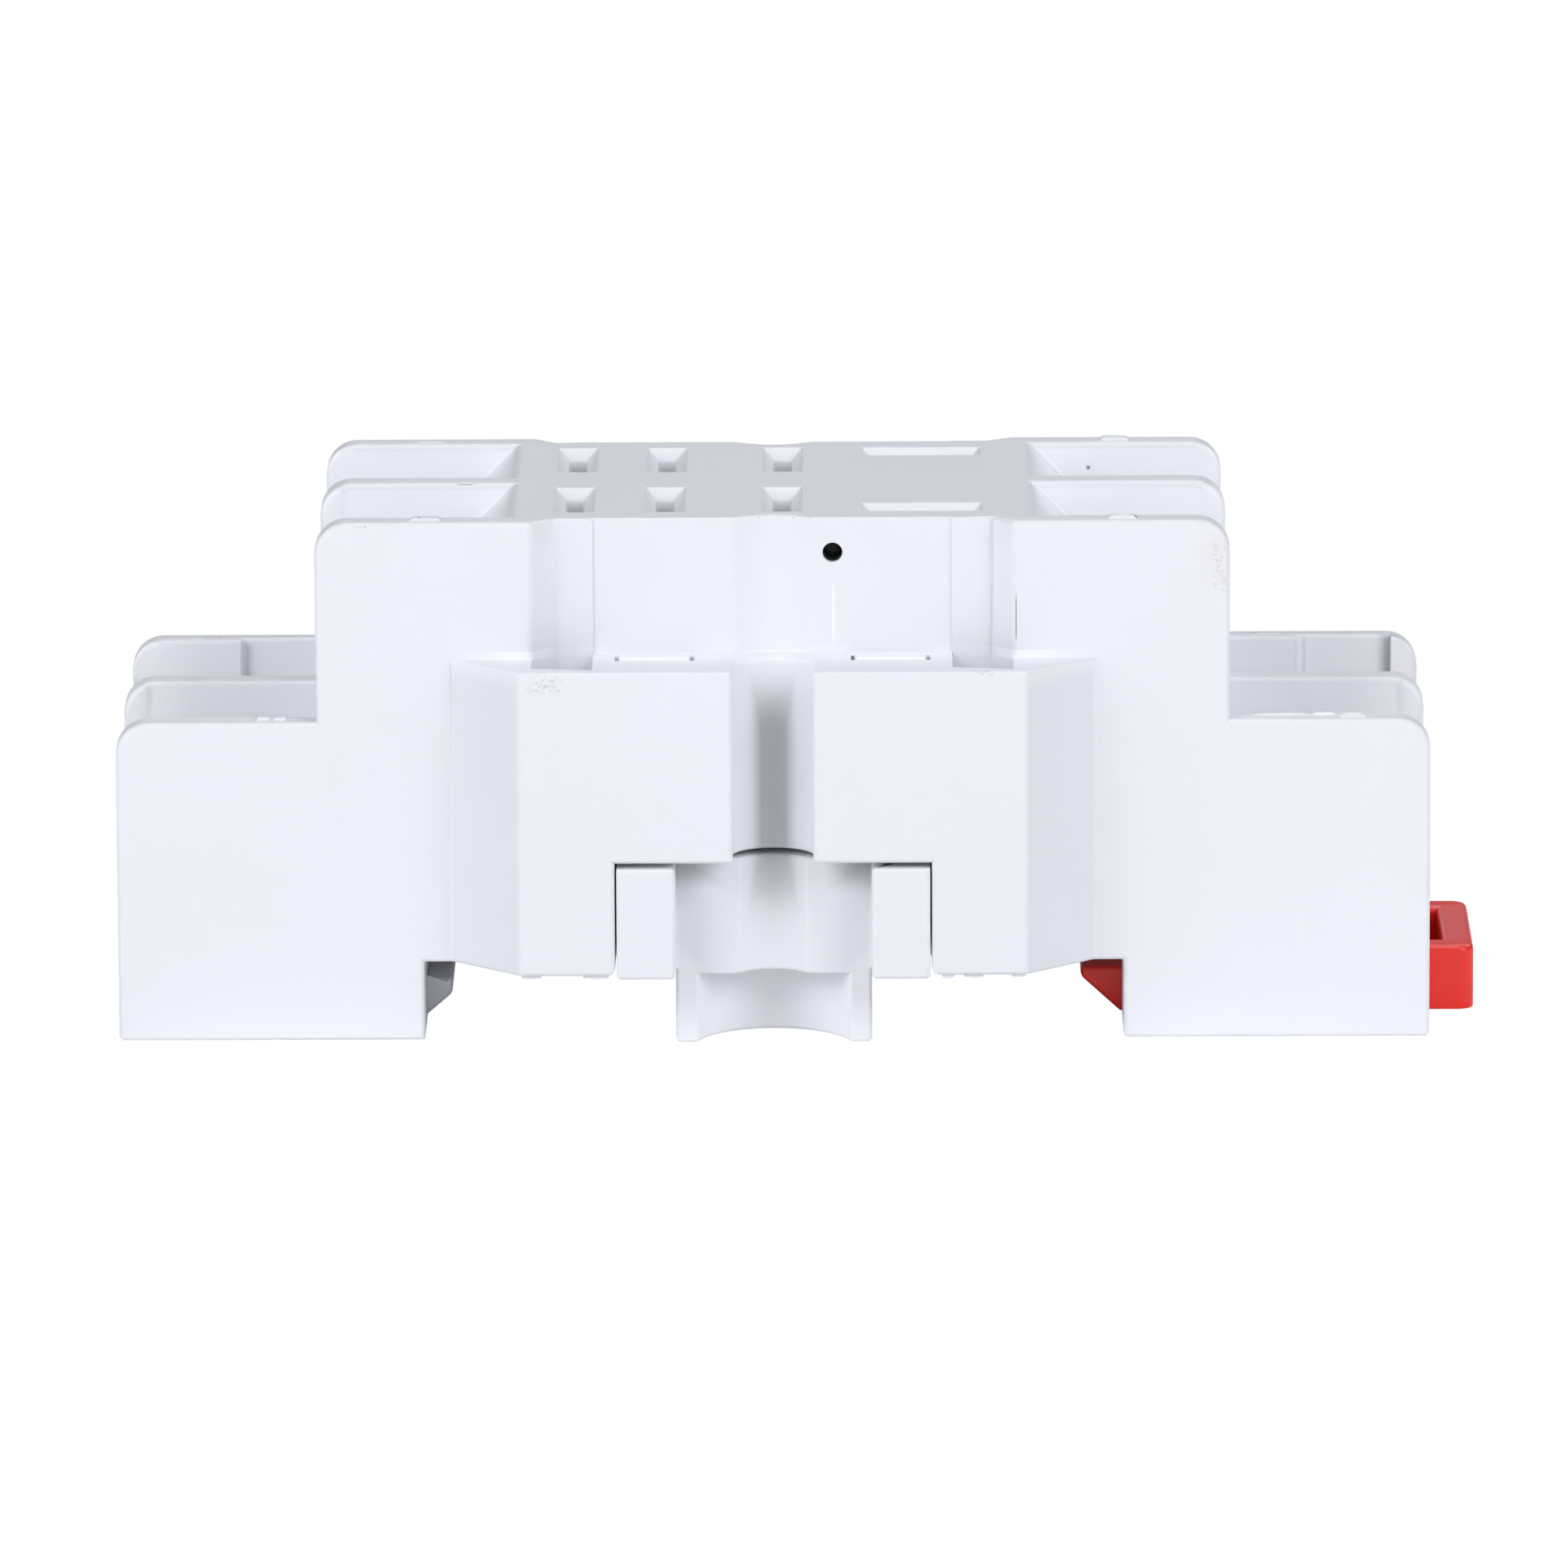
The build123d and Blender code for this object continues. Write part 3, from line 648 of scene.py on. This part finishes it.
def flattenRelief(mesh):
    # the relief would leave no room for the rounding, so it is cut in again after that
    for vert in mesh.verts:
        y = vert.co.y / mm
        for wall, outwards in zip(finRelief["walls"], finRelief["outwards"]):
            if abs(abs(y) - wall - outwards * finRelief["depth"]) < finRelief["match"]:
                vert.co.y = math.copysign(wall, y) * mm


def straightenRecess(mesh):
    # the top edge of the recess ends on the fin's arc, in steps too short to round
    low, high = recessTop["reach"]
    for vert in mesh.verts:
        x, y, z = (v / mm for v in vert.co)
        onWall = abs(y - recessTop["wall"]) < recessTop["match"]
        if low < x < high and onWall and z > recessTop["above"]:
            vert.co = Vector(recessTop["corner"]) * mm


def cutRelief(mesh):
    for reach, floor in finRelief["tiers"]:
        start = reach - finRelief["length"]
        end = start + finRelief["slope"]
        for side in (-1, 1):
            for place in (start, end):
                fins = [face for face in mesh.faces if all(
                    vert.co.z > floor * mm and abs(vert.co.y) < finRelief["bays"] * mm
                    for vert in face.verts)]
                touched = {item for face in fins for item in (face, *face.edges, *face.verts)}
                bmesh.ops.bisect_plane(
                    mesh, geom=list(touched), dist=finRelief["cut"] * mm,
                    plane_co=(side * place * mm, 0, 0), plane_no=(1, 0, 0))
        for vert in mesh.verts:
            x, y, z = (abs(vert.co.x) / mm, abs(vert.co.y) / mm, vert.co.z / mm)
            if x < start or x > reach + finRelief["margin"] or z < floor + finRelief["margin"]:
                continue
            deep = min(1.0, (x - start) / finRelief["slope"]) * finRelief["shown"]
            for wall, outwards in zip(finRelief["walls"], finRelief["outwards"]):
                into = outwards * (y - wall)
                if -finRelief["slack"] < into < finRelief["fade"]:
                    share = 1 - max(0.0, into) / finRelief["fade"]
                    vert.co.y += math.copysign(outwards * deep * share * mm, vert.co.y)


def areaNormals(mesh):
    # one normal for each corner, in which the large faces count most
    area = {face: face.calc_area() for face in mesh.faces}
    normals = []
    for face in mesh.faces:
        facing = face.normal
        longest = max(edge.calc_length() for edge in face.edges)
        if 2 * area[face] < edgeRule["sliver"] * mm * longest:
            beside = {one for edge in face.edges for one in edge.link_faces}
            facing = max(beside, key=area.get).normal
        for corner in face.loops:
            near = [one for one in corner.vert.link_faces
                    if one.normal.dot(facing) > edgeRule["blend"]]
            near = near or [face]
            total = sum((one.normal * area[one] for one in near), Vector())
            normals.append(total.normalized())
    return normals


def settle(piece, withRelief):
    # the modifier's result becomes the mesh, without slivers, in triangles where a face has
    # many sides
    shaped = piece.evaluated_get(bpy.context.evaluated_depsgraph_get())
    rounded = bpy.data.meshes.new_from_object(shaped)
    piece.modifiers.clear()
    mesh = bmesh.new()
    mesh.from_mesh(rounded)
    bmesh.ops.remove_doubles(mesh, verts=mesh.verts, dist=edgeRule["weldAfter"] * mm)
    bmesh.ops.dissolve_degenerate(mesh, dist=edgeRule["tinyAfter"] * mm, edges=mesh.edges)
    bmesh.ops.triangulate(mesh, faces=[face for face in mesh.faces if len(face.verts) > 4])
    if withRelief:
        cutRelief(mesh)
    mesh.normal_update()
    normals = areaNormals(mesh)
    mesh.to_mesh(rounded)
    mesh.free()
    rounded.normals_split_custom_set(normals)
    piece.data = rounded


def addPiece(name, mesh):
    data = bpy.data.meshes.new(name)
    mesh.to_mesh(data)
    mesh.free()
    piece = bpy.data.objects.new(name, data)
    bpy.context.scene.collection.objects.link(piece)
    return piece


def roundMoulding(name, moulding):
    source = moulding["source"]
    mesh = bmesh.new()
    mesh.from_mesh(nodes[source].data)
    if source == "housing":
        flattenRelief(mesh)
        straightenRecess(mesh)
    closest = edgeRule["weldBefore"] * mm
    bmesh.ops.remove_doubles(mesh, verts=mesh.verts, dist=closest)
    bmesh.ops.dissolve_degenerate(mesh, dist=closest, edges=mesh.edges)
    bmesh.ops.dissolve_limit(mesh, angle_limit=edgeRule["merge"], verts=mesh.verts,
                             edges=mesh.edges)
    mesh.normal_update()
    widest = max([moulding["outside"]] + [radius for low, high, radius in moulding["local"]])
    weight = mesh.edges.layers.float.new("bevel_weight_edge")
    for edge, room in roomBeside(mesh, widest * mm).items():
        limit = moulding["outside" if edge.is_convex else "inside"]
        limit = localRadius(moulding["local"], edge) or limit
        if room > edgeRule["least"] * mm:
            edge[weight] = min(room, limit * mm) / (widest * mm)
    for face in mesh.faces:
        face.smooth = True
    piece = addPiece(name, mesh)
    rounding = piece.modifiers.new("edgeRounding", "BEVEL")
    rounding.width = widest * mm
    rounding.segments = edgeRule["segments"]
    rounding.limit_method = "WEIGHT"
    rounding.use_clamp_overlap = False
    settle(piece, source == "housing")
    dress(piece, finishes[source])
    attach(piece, moulding["body"])
    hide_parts(source)
    return piece


for pieceName, moulding in mouldings.items():
    piece = roundMoulding(pieceName, moulding)
    print("edges rounded:", pieceName, len(piece.data.polygons), "faces")

# Low pads left by the ejector pins and the gate on the fins, lengths in mm
finPads = {
    "seed": 11,
    "steps": (28, 12),           # faces along and across a pad
    "root": 0.05,                # how far a pad reaches down into the fin
    "slope": 0.25,               # part of the half size that rises to the pad's height
    "hollow": 0.35,              # height inside a raised rim, as part of the rim's
    "hollowEnd": 0.45,           # part of the half size that is hollow
    "rimSlope": 0.2,             # part of it that rises from the hollow to the rim
    "unevenness": 0.2,           # part of the height that is left to chance
    "underside": -0.5,           # faces that look down more than this stay flat
    "waist": 0.06,               # how much shorter a pad is along its sides
    "rounding": 0.25,            # how much narrower it is at its ends
    "roundingPower": 6,
    "pads": {
        # name: (from x, to x, from y, to y, height of the fin, height of the pad, rimmed)
        "upperFrontLeft": (-18.3, -16.58, -10.15, -9.4, 22.87, 0.14, False),
        "upperFrontRight": (16.81, 18.4, -10.2, -9.45, 22.87, 0.17, True),
        "upperRearLeft": (-18.41, -16.86, 9.5, 10.2, 22.87, 0.05, False),
        "upperRearRight": (16.76, 18.35, 9.5, 10.2, 22.87, 0.17, False),
        "middleBurr": (-16.05, -15.26, -0.8, -0.55, 22.87, 0.06, False),
        "lowerFrontLeft": (-26.09, -25.35, -10.0, -9.6, 12.6, 0.14, False),
        "lowerFrontLeftSecond": (-25.25, -24.54, -10.0, -9.6, 12.6, 0.13, False),
        "lowerFrontRight": (28.52, 30.03, -10.15, -9.45, 12.6, 0.13, True),
        "lowerFrontRightLine": (24.2, 27.1, -9.5, -9.25, 12.6, 0.05, False),
        "lowerFrontRightStep": (27.2, 28.45, -9.5, -9.25, 12.6, 0.09, False),
        "lowerRearLeft": (-30.16, -29.35, 9.45, 10.05, 12.6, 0.04, False),
        "lowerRearRight": (24.77, 26.23, 9.65, 10.25, 12.6, 0.04, False),
    },
}


def padHeight(u, v, height, rimmed, chance):
    # u and v run from -1 to 1 across the pad
    edge = max(abs(u), abs(v))
    rise = min(1.0, (1 - edge) / finPads["slope"])
    if rimmed:
        climb = min(1.0, max(0.0, edge - finPads["hollowEnd"]) / finPads["rimSlope"])
        rise *= finPads["hollow"] + (1 - finPads["hollow"]) * climb
    swing = finPads["unevenness"]
    return height * rise * (1 - swing + swing * chance.random())


def makeFinPads():
    chance = random.Random(finPads["seed"])
    mesh = bmesh.new()
    along, across = finPads["steps"]
    for fromX, toX, fromY, toY, level, height, rimmed in finPads["pads"].values():
        top, bottom = {}, {}
        for i in range(along + 1):
            for j in range(across + 1):
                u, v = 2 * i / along - 1, 2 * j / across - 1
                shorter = 1 - finPads["waist"] * v * v
                narrower = 1 - finPads["rounding"] * u ** finPads["roundingPower"]
                x = fromX + (toX - fromX) * (u * shorter + 1) / 2
                y = fromY + (toY - fromY) * (v * narrower + 1) / 2
                z = level + padHeight(u, v, height, rimmed, chance)
                low = level - finPads["root"]
                top[i, j] = mesh.verts.new((x * mm, y * mm, z * mm))
                bottom[i, j] = mesh.verts.new((x * mm, y * mm, low * mm))
        for i in range(along):
            for j in range(across):
                ring = [(i, j), (i + 1, j), (i + 1, j + 1), (i, j + 1)]
                mesh.faces.new([top[corner] for corner in ring])
                mesh.faces.new([bottom[corner] for corner in ring[:1] + ring[:0:-1]])
        rim = ([(i, 0) for i in range(along)] + [(along, j) for j in range(across)]
               + [(i, across) for i in range(along, 0, -1)]
               + [(0, j) for j in range(across, 0, -1)])
        for one, other in zip(rim, rim[1:] + rim[:1]):
            mesh.faces.new([top[other], top[one], bottom[one], bottom[other]])
    for face in mesh.faces:
        face.smooth = face.normal.z > finPads["underside"]
    bmesh.ops.recalc_face_normals(mesh, faces=mesh.faces)
    piece = addPiece("fin_pads", mesh)
    dress(piece, whiteMoulding)
    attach(piece, "base")
    return piece


print("fin pads made:", len(makeFinPads().data.polygons), "faces")

# Ragged flash where the mould halves met, below the front edge of the block, lengths in mm
flash = {
    "seed": 23,
    "step": 0.11,                # between the threads
    "thickness": 0.06,
    "root": 0.25,                # how far above the edge it starts, inside the block
    "face": -13.72,              # its Y
    "level": 0.06,               # height of the block's edge
    "runs": {
        # name: (from x, to x, longest thread)
        "blockLeftEnd": (-12.7, -11.7, 0.09),
        "blockLeft": (-9.6, -8.3, 0.09),
        "blockRight": (8.5, 9.1, 0.14),
        "blockRightMiddle": (9.6, 10.6, 0.1),
        "blockRightEnd": (12.0, 12.7, 0.08),
    },
}


def makeFlash():
    chance = random.Random(flash["seed"])
    mesh = bmesh.new()
    near, far = flash["face"], flash["face"] + flash["thickness"]
    root = flash["level"] + flash["root"]
    for fromX, toX, longest in flash["runs"].values():
        count = round((toX - fromX) / flash["step"])
        rows = []
        for i in range(count + 1):
            x = fromX + i * (toX - fromX) / count
            taper = math.sin(math.pi * (i / count)) ** 0.5
            z = flash["level"] - longest * taper * chance.random()
            outline = ((near, root), (near, z), (far, z), (far, root))
            rows.append([mesh.verts.new((x * mm, y * mm, height * mm))
                         for y, height in outline])
        for one, other in zip(rows, rows[1:]):
            for k in range(4):
                mesh.faces.new([one[k], one[(k + 1) % 4], other[(k + 1) % 4], other[k]])
        mesh.faces.new(rows[0][::-1])
        mesh.faces.new(rows[-1])
    bmesh.ops.recalc_face_normals(mesh, faces=mesh.faces)
    piece = addPiece("parting_flash", mesh)
    dress(piece, whiteMoulding)
    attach(piece, "base")
    return piece


print("flash made:", len(makeFlash().data.polygons), "faces")
